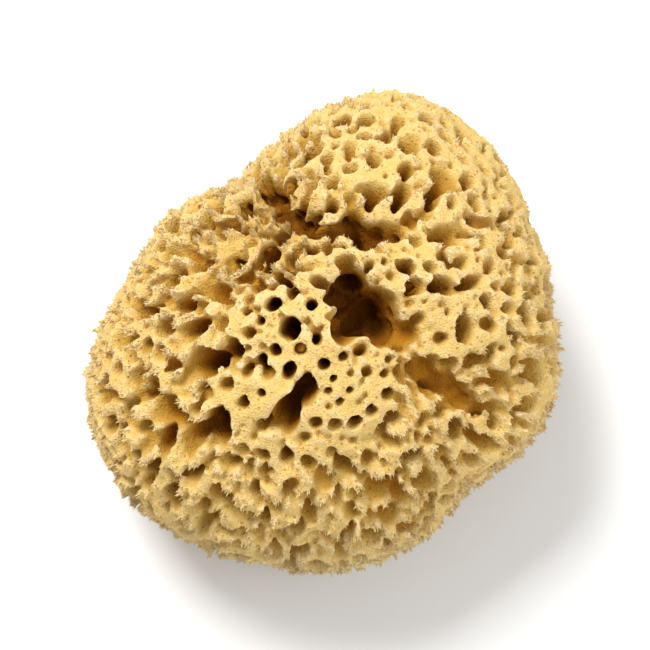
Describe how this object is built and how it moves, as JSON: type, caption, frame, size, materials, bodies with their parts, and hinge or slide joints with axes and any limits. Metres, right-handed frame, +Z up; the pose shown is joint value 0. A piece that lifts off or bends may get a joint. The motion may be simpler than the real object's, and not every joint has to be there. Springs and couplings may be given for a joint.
{
  "type": "natural sea sponge",
  "caption": "Natural honeycomb bath sponge: one grown dome of two lobes parted by a furrow, riddled with round canals and resting on its flat cut base.",
  "frame": {"origin": "centre of the footprint, on the plane of the flat cut base", "axes": "+Z up from the cut base through the crown; +X runs across the sponge from the main lobe to the crescent lobe's flank; +Y runs to the crescent lobe's crest"},
  "size_m": [0.1422, 0.15, 0.0905],
  "materials": {
    "spongin": "matt, porous and fibrous"
  },
  "bodies": {
    "root": {"sponge": "spongin"}
  },
  "joints": []
}
